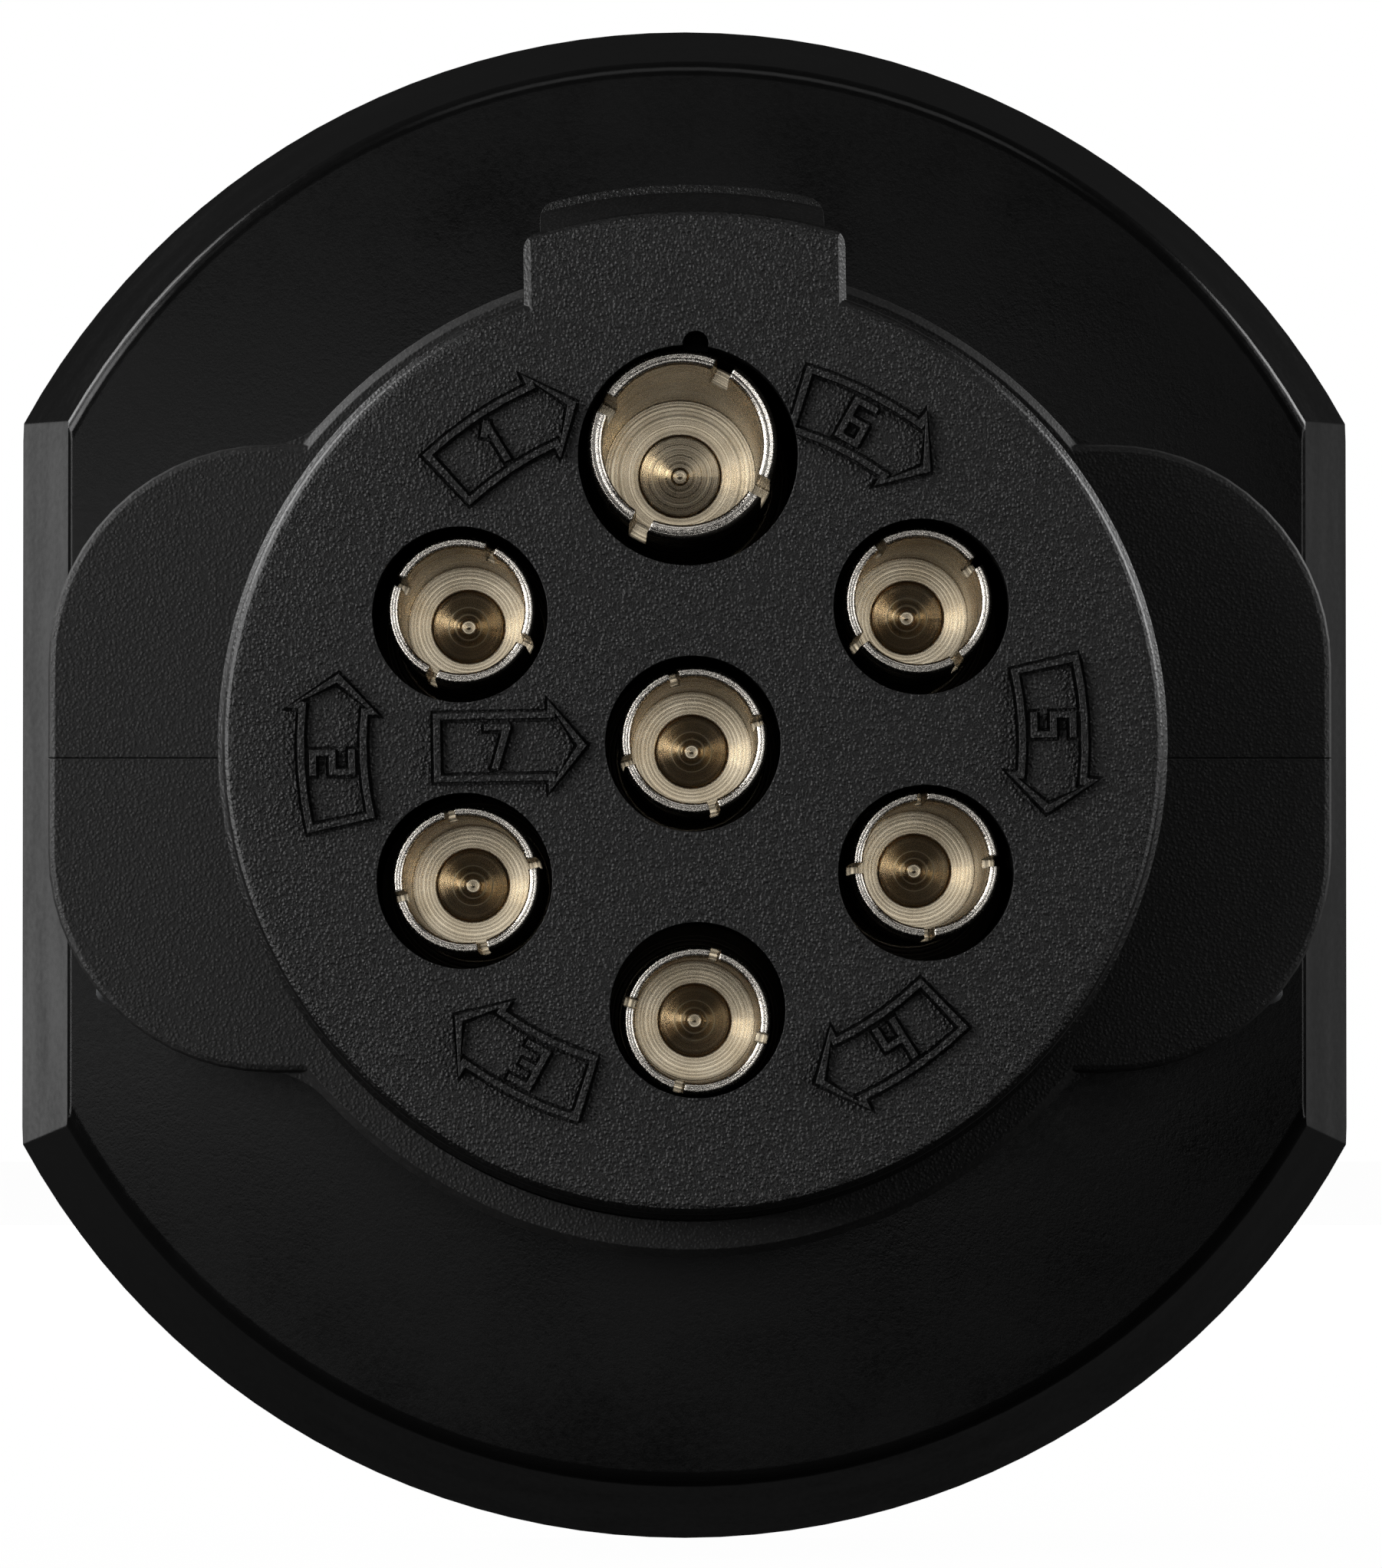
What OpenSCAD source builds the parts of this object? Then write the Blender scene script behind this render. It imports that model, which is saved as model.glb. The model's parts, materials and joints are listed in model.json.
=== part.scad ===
// Trailer wiring adapter: a seven-way round-pin plug at the front, and a seven-way blade socket
// with a sprung lid at the back. The plug's axis runs along Y. Depth 0 is the face of the nose,
// +Y runs back to the lid, +Z is the side of the key, and +X is to the right seen from the front.

/* [Nose] */
// Radius of the nose at its front rim
nose_r = 22.2; // [22:0.05:22.6]
// Radius of the top of the key
key_top_r = 25.2; // [24.6:0.1:25.6]
// Half width of the key
key_half = 7.6; // [7:0.1:8]
// Radius of the top of the lid-catch lug behind the key
lug_top_r = 27.7; // [27:0.1:28]
// Half width of the lug
lug_half = 6.9; // [6.4:0.1:7]
// Radius of the circle through the five outer small contacts
ring_r = 12.55; // [12.4:0.05:12.6]
// Distance of the large contact from the axis
ground_ring_r = 13.6; // [13.4:0.05:13.7]
// How far the nose sits turned in the grip of the shells, anticlockwise seen from the front
nose_turn = 1; // [-1:0.5:1]

/* [Contacts] */
// Inside radius of a small contact
small_bore_r = 2.975; // [2.9:0.005:3]
// Inside radius of the large contact
ground_bore_r = 3.8; // [3.7:0.01:3.85]
// Width of the four slots in a small contact
small_slot_w = 0.5; // [0.4:0.05:0.7]
// Width of the four slots in the large contact
ground_slot_w = 0.95; // [0.7:0.05:1]
// Depth at which the tips of the contacts lie behind the face
tip_depth = 1.2; // [0.8:0.1:2]

/* [Shells] */
// Radius of the round collar around the nose
collar_r = 24.8; // [24.6:0.1:25]
// Width over the two finger wings
wing_w = 63.8; // [62:0.1:64]
// Height of the finger wings
wing_h = 31.2; // [30:0.1:32]
// Corner radius of the wings
wing_corner_r = 11; // [9:0.5:12]
// Depth of the finger scoops behind the wings
scoop_depth = 6.4; // [4:0.1:7]

/* [Hood] */
// Radius of the hood at its front edge
hood_front_r = 37.6; // [37.4:0.1:38]
// Radius of the hood at its back rim
hood_rim_r = 41.5; // [41:0.1:41.8]
// Half width over the two flats at the front
flat_front = 32.6; // [32.4:0.1:33]
// Half width over the two flats at the back rim
flat_rim = 36.5; // [36.2:0.1:36.8]

/* [Blade socket] */
// Inside radius of the socket barrel
barrel_bore_r = 22.75; // [22.6:0.05:22.8]
// Radius of the circle of flat blades
blade_ring_r = 13.2; // [13:0.1:13.4]
// Width of a blade
blade_w = 7.9; // [6.3:0.1:8]
// Thickness of a blade
blade_t = 1.5; // [1.2:0.1:1.6]
// Radius of the lid
lid_r = 28.6; // [28.4:0.1:28.8]

/* [Hidden] */
$fn = 64;
eps = 0.01;
play = 0.1;          // clearance between parts that are clamped together
running = 0.05;      // radial clearance of the hinge pin and of screws in their holes
housing_black = "#1d1d1f";
smooth_black = "#121213";
rubber_black = "#0c0c0c";
nickel = "#c9bfa8";
steel = "#b9bcc0";
copper = "#c77b45";

// Circuits, named by the colour of their wire. Each row holds the angle of the contact seen
// from the front, its distance from the axis, how far it has settled sideways in its hole,
// the angle of its first slot, the angle of its arrow frame, and its terminal number.
WHITE = [90, ground_ring_r, [-0.25, 0.56], 62, 120, 1];
BROWN = [30, ring_r, [-0.1, 0.31], 34, 60, 6];
GREEN = [330, ring_r, [0.03, 0.41], 3, 0, 5];
RED = [270, ring_r, [-0.02, -0.48], 75, 301, 4];
YELLOW = [210, ring_r, [0.05, 0.07], 14, 240, 3];
BLACK = [150, ring_r, [0.05, 0.24], 65, 180, 2];
BLUE = [0, 0, [0.05, 0.19], 17, 0, 7];
OUTER = [BROWN, GREEN, RED, YELLOW, BLACK];
SMALL = concat(OUTER, [BLUE]);
ALL = concat([WHITE], SMALL);

// depths along the axis
step_depth = 8;          // where the contact holes widen
shoulder_depth = 34;     // shoulder that stops the flange of each contact
nose_end = 37;
wing_front = 27;
shell_end = 57.4;
spigot_front = 49.5;
hood_front = 57.8;
hood_wall = 61.4;
ledge_depth = 79;
plate_front = 80;
rim_depth = 84;
floor_front = 66;
lip_back = 67.4;
floor_back = 69;
mouth = 92;
lid_face = 92.4;
retainer_back = 39.2;
crimp_front = 40;
crimp_back = 46;
tail_front = 57;
tail_back = 62.5;
terminal_front = 63.8;
terminal_back = 65.9;

// ---------------------------------------------------------------- building helpers

// A front view outline made into a slab between two depths
module slab(front, back)
    translate([0, back, 0]) rotate([90, 0, 0]) linear_extrude(back - front) children();

// A solid of revolution around the plug's axis from [radius, depth] points
module lathe(points)
    rotate([90, 0, 0]) rotate_extrude() polygon([for (p = points) [p[0], -p[1]]]);

// A cylinder along the plug's axis
module rod(r, front, back)
    translate([0, back, 0]) rotate([90, 0, 0]) cylinder(r = r, h = back - front);

// A solid of revolution around a line along X from [radius, x] points
module lathe_x(points)
    rotate([90, 0, 90]) rotate_extrude() polygon(points);

// A cylinder along X
module rod_x(r, left, right)
    translate([left, 0, 0]) rotate([0, 90, 0]) cylinder(r = r, h = right - left);

// Moves its children from the axis to a place in the front view
module at(p) translate([p[0], 0, p[1]]) children();

// Turns its children around the plug's axis, anticlockwise seen from the front
module turned(angle) rotate([0, -angle, 0]) children();

function polar(r, a) = [r * cos(a), r * sin(a)];
function arc(centre, r, from, to, steps) =
    [for (i = [0:steps]) centre + polar(r, from + (to - from) * i / steps)];
function hole_at(c) = polar(c[1], c[0] + nose_turn);
function contact_at(c) = hole_at(c) + c[2];
function is_ground(c) = c == WHITE;
function shank_r(c) = is_ground(c) ? 2.6 : 2.2;

wire_r = 1.7;            // radius over a jumper's insulation
wire_core_r = 1;         // radius of its copper core
crimp_bore_r = wire_core_r + 0.35;

// ---------------------------------------------------------------- nose housing

small_hole = [4.15, 4.7, 5.4];    // radii of a small contact's hole: front, middle, back
ground_hole = [5.2, 5.45, 6.3];
groove_r = 20.8;         // bottom of the groove that the shells clamp
groove = [31.4, 34.4];
seal_groove_r = 21.3;
seal_groove = [27.9, 30.1];
nose_back_r = 22.9;
rim_ledge = 1.4;         // depth of the small ledge behind the rim
frame_r = 17;            // radius of the arrow frames' centre line
mark_height = 0.25;      // how far the frames and numbers stand out of the face
mark_groove = [0.14, 0.2];   // width and depth of the fine groove on both sides of each line
screw_spots = [for (a = [0, 120, 240]) polar(17, a)];

module nose_barrel()
    lathe(concat(
        [[0, 0]],
        arc([nose_r - 0.5, 0.5], 0.5, -90, 0, 4),
        [
            [nose_r, rim_ledge], [nose_r + 0.25, rim_ledge + 0.25],
            [nose_back_r, seal_groove[0]], [seal_groove_r, seal_groove[0]],
            [seal_groove_r, seal_groove[1]], [nose_back_r, seal_groove[1]],
            [nose_back_r, groove[0]], [groove_r, groove[0]],
            [groove_r, groove[1]], [nose_back_r, groove[1]],
            [nose_back_r, nose_end], [0, nose_end]
        ]));

// A straight-sided block with a top that follows a circle around the axis
module arched_block(half, top_r, corner_r, base) {
    inner = top_r - corner_r;
    side = half - corner_r;
    lift = sqrt(inner * inner - side * side);
    turn = atan2(lift, side);
    right = arc([side, lift], corner_r, 0, turn, 5);
    left = [for (i = [5:-1:0]) [-right[i][0], right[i][1]]];
    polygon(concat(
        [[-half, base], [half, base]], right,
        arc([0, 0], top_r, turn + 2, 178 - turn, 8), left));
}

module key() {
    base = 18;
    side_chamfer = 0.5;
    outside = key_half + 0.15;
    intersection() {
        slab(0, wing_front - play) arched_block(key_half, key_top_r, 0.9, base);
        linear_extrude(key_top_r + 1) polygon([
            [side_chamfer - outside, 0], [outside - side_chamfer, 0], [outside, side_chamfer],
            [outside, wing_front], [-outside, wing_front], [-outside, side_chamfer]
        ]);
        lathe(concat(
            [[0, 0]], arc([key_top_r - 0.45, 0.5], 0.5, -90, 0, 4),
            [[key_top_r + 1, 0.5], [key_top_r + 1, wing_front], [0, wing_front]]));
    }
    ramp_start = 11;
    ramp_end = 17;
    lug_back = 24;
    intersection() {
        slab(ramp_start, lug_back) arched_block(lug_half, lug_top_r, 0.9, base);
        lathe([
            [0, ramp_start], [key_top_r - 0.5, ramp_start], [lug_top_r - 0.4, ramp_end - 0.6],
            [lug_top_r + 1, ramp_end], [lug_top_r + 1, lug_back], [0, lug_back]
        ]);
    }
}

// A point of an arrow frame: s runs clockwise along it and t runs outwards
function on_frame(angle, s, t) = polar(frame_r + t, angle - s / frame_r * 180 / PI);
function frame_run(angle, from, to, t) =
    [for (i = [0:4]) on_frame(angle, from + (to - from) * i / 4, t)];

tail_s = -3.6;           // the frame's square end
neck_s = 1.8;            // where the arrow head starts
point_s = 3.6;           // the arrow's tip
shaft_t = 1.62;          // half the height of the shaft
barb_t = 2.18;           // half the height over the barbs
line_w = 0.3;

// Outline of a curved arrow frame, drawn in by an inset
function curved_arrow(angle, inset) = concat(
    frame_run(angle, tail_s + inset, neck_s + inset, shaft_t - inset),
    [
        on_frame(angle, neck_s + inset, barb_t - inset * 1.9),
        on_frame(angle, point_s - inset * 1.4, 0),
        on_frame(angle, neck_s + inset, inset * 1.9 - barb_t)
    ],
    frame_run(angle, neck_s + inset, tail_s + inset, inset - shaft_t));

function straight_arrow(centre, inset) = [
    for (p = [
        [tail_s + inset, shaft_t - inset], [neck_s + inset, shaft_t - inset],
        [neck_s + inset, barb_t - inset * 1.9], [point_s - inset * 1.4, 0],
        [neck_s + inset, inset * 1.9 - barb_t], [neck_s + inset, inset - shaft_t],
        [tail_s + inset, inset - shaft_t]
    ]) centre + p
];

// The strokes of the numbers 1 to 7 on a grid one unit wide and two high
STROKES = [
    [[[0.5, 0], [0.5, 2]], [[0.15, 1.6], [0.5, 2]]],
    [[[0, 2], [1, 2]], [[1, 2], [1, 1]], [[1, 1], [0, 1]], [[0, 1], [0, 0]], [[0, 0], [1, 0]]],
    [[[0, 2], [1, 2]], [[1, 2], [1, 0]], [[1, 0], [0, 0]], [[0.2, 1], [1, 1]]],
    [[[0, 2], [0, 1]], [[0, 1], [1, 1]], [[1, 2], [1, 0]]],
    [[[1, 2], [0, 2]], [[0, 2], [0, 1]], [[0, 1], [1, 1]], [[1, 1], [1, 0]], [[1, 0], [0, 0]]],
    [[[1, 2], [0, 2]], [[0, 2], [0, 0]], [[0, 0], [1, 0]], [[1, 0], [1, 1]], [[1, 1], [0, 1]]],
    [[[0, 2], [1, 2]], [[1, 2], [0.4, 0]]]
];

module stroke(from, to, w) {
    run = to - from;
    translate(from) rotate(atan2(run[1], run[0]))
        translate([-w / 2, -w / 2]) square([norm(run) + w, w]);
}

module numeral(n, turn, grow) {
    half = 0.92;
    stroke_w = 0.3;
    rotate(turn) translate([-half / 2, -half])
        for (s = STROKES[n - 1]) stroke(s[0] * half, s[1] * half, stroke_w + 2 * grow);
}

// Outline of the arrow frames and their numbers, with every line grown on both sides
module mark_lines(grow) {
    blue_mark = [-8.6, 0];
    for (c = concat([WHITE], OUTER)) {
        difference() {
            polygon(curved_arrow(c[4], -grow));
            polygon(curved_arrow(c[4], line_w + grow));
        }
        inward = c[4] > 200 || c[4] == 0;
        translate(on_frame(c[4], -0.6, 0)) numeral(c[5], c[4] + (inward ? 90 : -90), grow);
    }
    difference() {
        polygon(straight_arrow(blue_mark, -grow));
        polygon(straight_arrow(blue_mark, line_w + grow));
    }
    translate(blue_mark + [-0.6, 0]) numeral(BLUE[5], 0, grow);
}

module contact_holes() {
    for (c = ALL) at(hole_at(c)) {
        r = is_ground(c) ? ground_hole : small_hole;
        rod(r[0], -1, step_depth + eps);
        rod(r[1], step_depth, shoulder_depth + eps);
        rod(r[2], shoulder_depth, nose_end + 1);
    }
    notch = [0.13, 18.85];
    at(notch) rod(0.62, -1, 4);
    pilot_depth = 30;
    for (p = screw_spots) at(p) rod(1, pilot_depth, nose_end + 1);
}

module nose_housing() {
    color(housing_black) difference() {
        union() {
            difference() {
                nose_barrel();
                turned(nose_turn) slab(-1, mark_groove[1]) mark_lines(mark_groove[0]);
            }
            turned(nose_turn) slab(-mark_height, mark_groove[1] + 0.3) mark_lines(0);
            turned(nose_turn) key();
        }
        contact_holes();
    }
}

// ---------------------------------------------------------------- contacts

// Turned socket contact: four sprung fingers, a stop flange and a crimp barrel
module contact(c) {
    ground = is_ground(c);
    bore_r = ground ? ground_bore_r : small_bore_r;
    tip_r = ground ? 4.5 : 3.5;
    body_r = ground ? 4.6 : 3.6;
    flange_r = ground ? 5.6 : 4.9;
    bottom = ground ? 30 : 22;
    pit_r = ground ? 2 : 1.73;
    pit_depth = ground ? 0.14 : 0.4;
    cone_depth = ground ? 0.2 : 0.35;
    cone_end = bottom + pit_depth + cone_depth;
    centre_r = 0.42;     // the dimple that the drill's point leaves
    slot_w = ground ? ground_slot_w : small_slot_w;
    tip_edge = 0.2;        // rounding of the fingers' tips
    slot_end = tip_depth + 10;
    taper_end = slot_end + 0.8;
    flange_front = shoulder_depth + play;
    flange_back = flange_front + 2.3;
    crimp_r = shank_r(c) - 0.1;
    inside = [
        [0, cone_end + 0.2], [centre_r - 0.05, cone_end + 0.18], [centre_r, cone_end],
        [pit_r, bottom + pit_depth], [pit_r + 0.08, bottom], [bore_r, bottom]
    ];
    outside = [
        [body_r, taper_end], [body_r, flange_front - 0.1],
        [flange_r, flange_front], [flange_r, flange_back], [shank_r(c), flange_back],
        [shank_r(c), crimp_front], [crimp_r, crimp_front], [crimp_r, crimp_back],
        [crimp_bore_r, crimp_back], [crimp_bore_r, crimp_front + 1.5], [0, crimp_front + 1.5]
    ];
    outline = concat(
        inside,
        arc([bore_r + tip_edge, tip_depth + tip_edge], tip_edge, 180, 270, 3),
        arc([tip_r - tip_edge, tip_depth + tip_edge], tip_edge, 270, 360, 3),
        outside);
    color(nickel) at(contact_at(c)) difference() {
        lathe(outline);
        for (i = [0:3]) turned(c[3] + 90 * i)
            translate([bore_r - 0.8, tip_depth - 1, -slot_w / 2])
                cube([body_r, slot_end - tip_depth + 1, slot_w]);
    }
}

module nose_seal() {
    color(rubber_black) rotate([90, 0, 0]) translate([0, 0, -29])
        rotate_extrude() translate([22.15, 0]) circle(r = 0.8, $fn = 32);
}

module contact_retainer() {
    color(housing_black) difference() {
        rod(20.5, nose_end + running, retainer_back);
        for (c = ALL) at(hole_at(c)) rod(shank_r(c) + 0.65, nose_end - 1, retainer_back + 1);
        for (p = screw_spots) at(p) rod(1.1, nose_end - 1, retainer_back + 1);
    }
}

// Pan-head screw along the axis: its head starts at a depth and its shank points forwards
module pan_screw(head_front, head_r, head_h, shank_r, tip) {
    slot = 0.6;
    difference() {
        lathe([
            [0, tip], [shank_r * 0.6, tip], [shank_r, tip + 0.6], [shank_r, head_front],
            [head_r, head_front], [head_r, head_front + head_h * 0.6],
            [head_r * 0.7, head_front + head_h], [0, head_front + head_h]
        ]);
        translate([0, head_front + head_h, 0]) {
            cube([head_r * 1.3, head_h, slot], center = true);
            cube([slot, head_h, head_r * 1.3], center = true);
        }
    }
}

module retainer_screws() {
    color(steel) for (p = screw_spots) at(p)
        pan_screw(retainer_back + eps, 2, 1.3, 1 - running, nose_end - 6);
}

// ---------------------------------------------------------------- shells

screw_x = 27;
screw_depths = [31.4, 54];
screw_seat = 10.5;       // how far below the parting plane the heads sit
screw_pilot = 10.5;      // depth of the blind holes above the parting plane
rear_rib = [52.2, 54.3];
wing_half = wing_w / 2;
wing_top = wing_h / 2;

module wing_outline(inset) {
    r = wing_corner_r - inset;
    cx = wing_half - wing_corner_r;
    cz = wing_top - wing_corner_r;
    polygon(concat(
        arc([cx, cz], r, 0, 90, 14), arc([-cx, cz], r, 90, 180, 14),
        arc([-cx, -cz], r, 180, 270, 14), arc([cx, -cz], r, 270, 360, 14)));
}

// Small fillets that run from the wings' edges into the collar
module collar_fillets() {
    fillet_r = 4;
    cz = wing_top + fillet_r;
    cx = sqrt(pow(collar_r + fillet_r, 2) - cz * cz);
    turn = atan2(cz, cx);
    for (sx = [-1, 1], sz = [-1, 1])
        polygon([for (p = concat(
            arc([cx, cz], fillet_r, 270, 180 + turn + 3, 6),
            [[cx - 6, wing_top - 2], [cx + 0.05, wing_top - 2]])) [p[0] * sx, p[1] * sz]]);
}

module shell_block() {
    edge = 0.35;
    scoop_r = 12;
    scoop_y = 43.2;
    difference() {
        union() {
            hull() {
                slab(wing_front, wing_front + eps) wing_outline(edge);
                slab(wing_front + edge * 0.3, wing_front + edge * 0.3 + eps) wing_outline(edge * 0.3);
                slab(wing_front + edge, shell_end) wing_outline(0);
            }
            slab(wing_front + 0.5, shell_end) collar_fillets();
        }
        for (s = [-1, 1])
            translate([s * (wing_half - scoop_depth + scoop_r), scoop_y, 0])
                cylinder(r = scoop_r, h = wing_h + 2, center = true);
    }
    lathe([
        [0, wing_front], [collar_r - 0.4, wing_front], [collar_r, wing_front + 0.4],
        [collar_r - 0.3, shell_end - 0.4], [collar_r - 0.7, shell_end], [0, shell_end]
    ]);
}

module shell_cavity() {
    bore = nose_back_r + play;
    rib = groove_r + play;
    chamber = 21.5;
    spigot_bore = spigot_r + play;
    spigot_rib = spigot_groove_r + play;
    lathe([
        [0, wing_front - 1], [bore, wing_front - 1], [bore, groove[0] + play],
        [rib, groove[0] + play], [rib, groove[1] - play], [bore, groove[1] - play],
        [bore, nose_end + play], [chamber, nose_end + play], [chamber, spigot_front - 0.2],
        [spigot_bore, spigot_front - 0.2], [spigot_bore, rear_rib[0]],
        [spigot_rib, rear_rib[0]], [spigot_rib, rear_rib[1]], [spigot_bore, rear_rib[1]],
        [spigot_bore, shell_end + 1], [0, shell_end + 1]
    ]);
}

module shell_half(upper) {
    big = 80;
    gap = 0.02;
    side = upper ? 1 : -1;
    difference() {
        shell_block();
        shell_cavity();
        translate([-big / 2, 0, upper ? gap - big : -gap]) cube([big, big, big]);
        for (x = [-screw_x, screw_x], y = screw_depths) translate([x, y, 0]) {
            if (upper) {
                translate([0, 0, -1]) cylinder(r = 1.3, h = screw_pilot + 1);
            } else {
                translate([0, 0, -wing_h]) cylinder(r = 1.7, h = wing_h + 1);
                translate([0, 0, -wing_h]) cylinder(r = 3, h = wing_h - screw_seat);
            }
        }
    }
}

module upper_shell() color(smooth_black) shell_half(true);
module lower_shell() color(smooth_black) shell_half(false);

// The shell screws stand upright, with their heads at the bottom
module shell_screws() {
    color(steel) for (x = [-screw_x, screw_x], y = screw_depths)
        translate([x, y, 0]) rotate([-90, 0, 0])
            pan_screw(screw_seat + eps, 2.7, 2, 1.3 - running, 1 - screw_pilot);
}

// ---------------------------------------------------------------- jumper wires

wire_front = crimp_back + 0.3;
wire_back = tail_front - 0.3;
function tail_at(c) = c == BLUE ? [0, 0] : polar(blade_ring_r, c[0]);

// A rod from a contact's crimp towards its terminal's crimp, between two depths
module wire_rod(c, r, front, back) {
    a = contact_at(c);
    run = tail_at(c) - a;
    span = wire_back - wire_front;
    tilt_x = atan2(run[0], span);
    tilt_z = atan2(run[1], span * 1 / cos(tilt_x));
    length = norm([run[0], span, run[1]]) / span;
    translate([a[0], wire_front, a[1]]) rotate([tilt_z, 0, -tilt_x])
        translate([0, (front - wire_front) * length, 0])
            rod(r, 0, (back - front) * length);
}

module jumper(c, shade) {
    color(shade) difference() {
        wire_rod(c, wire_r, wire_front, wire_back);
        wire_rod(c, wire_core_r + running, wire_front - 1, wire_back + 1);
    }
}

module jumper_cores() {
    inside = 3;
    color(copper) for (c = ALL) wire_rod(c, wire_core_r, wire_front - inside, wire_back + inside);
}

// ---------------------------------------------------------------- rear hood

spigot_r = 22;
spigot_bore_r = 18.6;
spigot_groove_r = 20.4;
spigot_groove = [52, 54.5];
hood_seal_groove = [55.4, 57.2];
post_at = [20.5, 27];    // one of the four screw posts
edge_r = 0.8;
function hood_r(depth) =
    hood_front_r + (hood_rim_r - hood_front_r) * (depth - hood_front - edge_r)
    / (rim_depth - hood_front - edge_r);
function flat_x(depth) =
    flat_front + (flat_rim - flat_front) * (depth - hood_front) / (rim_depth - hood_front);

// A wedge that widens backwards between the two flats, with its front corners chamfered or not
module flats_wedge(inset, front, back, chamfer) {
    tall = 100;
    a = flat_x(front) - inset;
    b = flat_x(back) - inset;
    corners = chamfer > 0
        ? [[a, front + chamfer], [a - chamfer, front], [chamfer - a, front], [-a, front + chamfer]]
        : [[a, front], [-a, front]];
    translate([0, 0, -tall / 2]) linear_extrude(tall)
        polygon(concat([[-b, back], [b, back]], corners));
}

// The flared round shape cut by the flats, drawn in by an inset
module flared(inset, front, back) {
    intersection() {
        lathe([[0, front], [hood_r(front) - inset, front], [hood_r(back) - inset, back], [0, back]]);
        flats_wedge(inset, front, back, 0);
    }
}

module hood_shell() {
    intersection() {
        lathe(concat(
            [[0, hood_front]],
            arc([hood_front_r - edge_r, hood_front + edge_r], edge_r, -90, -6, 5),
            [[hood_rim_r, rim_depth - 0.4], [hood_rim_r - 0.4, rim_depth], [0, rim_depth]]));
        flats_wedge(0, hood_front, rim_depth, 0.2);
    }
}

module spigot()
    lathe([
        [spigot_bore_r, spigot_front], [spigot_r, spigot_front], [spigot_r, spigot_groove[0]],
        [spigot_groove_r, spigot_groove[0]], [spigot_groove_r, spigot_groove[1]],
        [spigot_r, spigot_groove[1]], [spigot_r, hood_seal_groove[0]],
        [spigot_groove_r, hood_seal_groove[0]], [spigot_groove_r, hood_seal_groove[1]],
        [spigot_r, hood_seal_groove[1]], [spigot_r, hood_front + 1],
        [spigot_bore_r, hood_front + 1]
    ]);

module rear_hood() {
    wall = 3;
    ledge = 5;
    color(smooth_black) difference() {
        union() {
            difference() {
                hood_shell();
                flared(ledge, hood_wall, ledge_depth);
                flared(wall, ledge_depth - eps, rim_depth + 1);
            }
            spigot();
            for (sx = [-1, 1], sz = [-1, 1]) at([post_at[0] * sx, post_at[1] * sz])
                rod(3.2, hood_wall - 1, ledge_depth - eps);
        }
        rod(spigot_bore_r, spigot_front - 1, hood_wall + 1);
        for (sx = [-1, 1], sz = [-1, 1]) at([post_at[0] * sx, post_at[1] * sz])
            rod(1.3, ledge_depth - 12, ledge_depth + 1);
    }
}

module hood_seal() {
    color(rubber_black) rotate([90, 0, 0]) translate([0, 0, -56.3])
        rotate_extrude() translate([21.25, 0]) circle(r = 0.75, $fn = 32);
}

// ---------------------------------------------------------------- blade socket

barrel_r = 26.3;
hinge_y = 91.2;
hinge_z = 31.8;
pin_r = 1.5;
ear = [9.4, 13.4];       // where the socket's hinge ears lie along X
knuckle = [5.6, 9.1];    // where the lid's knuckles lie along X
lip_r = 20.6;            // inside radius of the lip at the front of the barrel
centre_pin_r = 2.4;
crimp_tube_r = 2.1;      // outside radius of the terminals' crimp barrels
TERMINALS = [WHITE, BROWN, GREEN, RED, YELLOW, BLACK];
terminal_spots = [for (a = [0, 120, 240]) polar(16.5, a)];

module plate_outline(inset) {
    intersection() {
        circle(r = hood_r(ledge_depth) - 3 - inset);
        square([2 * (flat_x(ledge_depth) - 3 - inset), 100], center = true);
    }
}

// Outline of one blade seen from outside the ring: its tip is chamfered
module blade_profile(w, front, back) {
    chamfer = 1.2;
    polygon([[-w / 2, front], [w / 2, front], [w / 2, back - chamfer],
             [w / 2 - chamfer, back], [chamfer - w / 2, back], [-w / 2, back - chamfer]]);
}

module blade_slot(front, back, gap)
    translate([blade_ring_r - blade_t / 2 - gap, front, -blade_w / 2 - gap])
        cube([blade_t + 2 * gap, back - front, blade_w + 2 * gap]);

module hinge_ears() {
    ear_r = 3.2;
    for (s = [-1, 1]) {
        left = s > 0 ? ear[0] : -ear[1];
        right = s > 0 ? ear[1] : -ear[0];
        translate([0, hinge_y, hinge_z]) rod_x(ear_r, left, right);
        translate([left, plate_front + 2, hinge_z - ear_r])
            cube([right - left, hinge_y - plate_front - 2, 2 * ear_r]);
    }
}

module blade_socket() {
    key_slot_half = 3;
    color(housing_black) difference() {
        union() {
            rod(barrel_r, floor_front, mouth - 0.4);
            lathe([[0, mouth - 1], [barrel_r, mouth - 0.4 - eps], [barrel_r - 0.4, mouth], [0, mouth]]);
            slab(plate_front, rim_depth) plate_outline(play);
            hinge_ears();
        }
        rod(lip_r, floor_front - 1, mouth + 1);
        rod(barrel_bore_r, lip_back, mouth + 1);
        translate([-key_slot_half, floor_back + 3, 0]) cube([2 * key_slot_half, mouth, 24.3]);
        for (sx = [-1, 1], sz = [-1, 1]) at([post_at[0] * sx, post_at[1] * sz]) {
            rod(1.6, plate_front - 1, rim_depth + 1);
            rod(2.9, plate_front + 2, rim_depth + 1);
        }
        translate([0, hinge_y, hinge_z]) rod_x(pin_r + running, -20, 20);
    }
}

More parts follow.
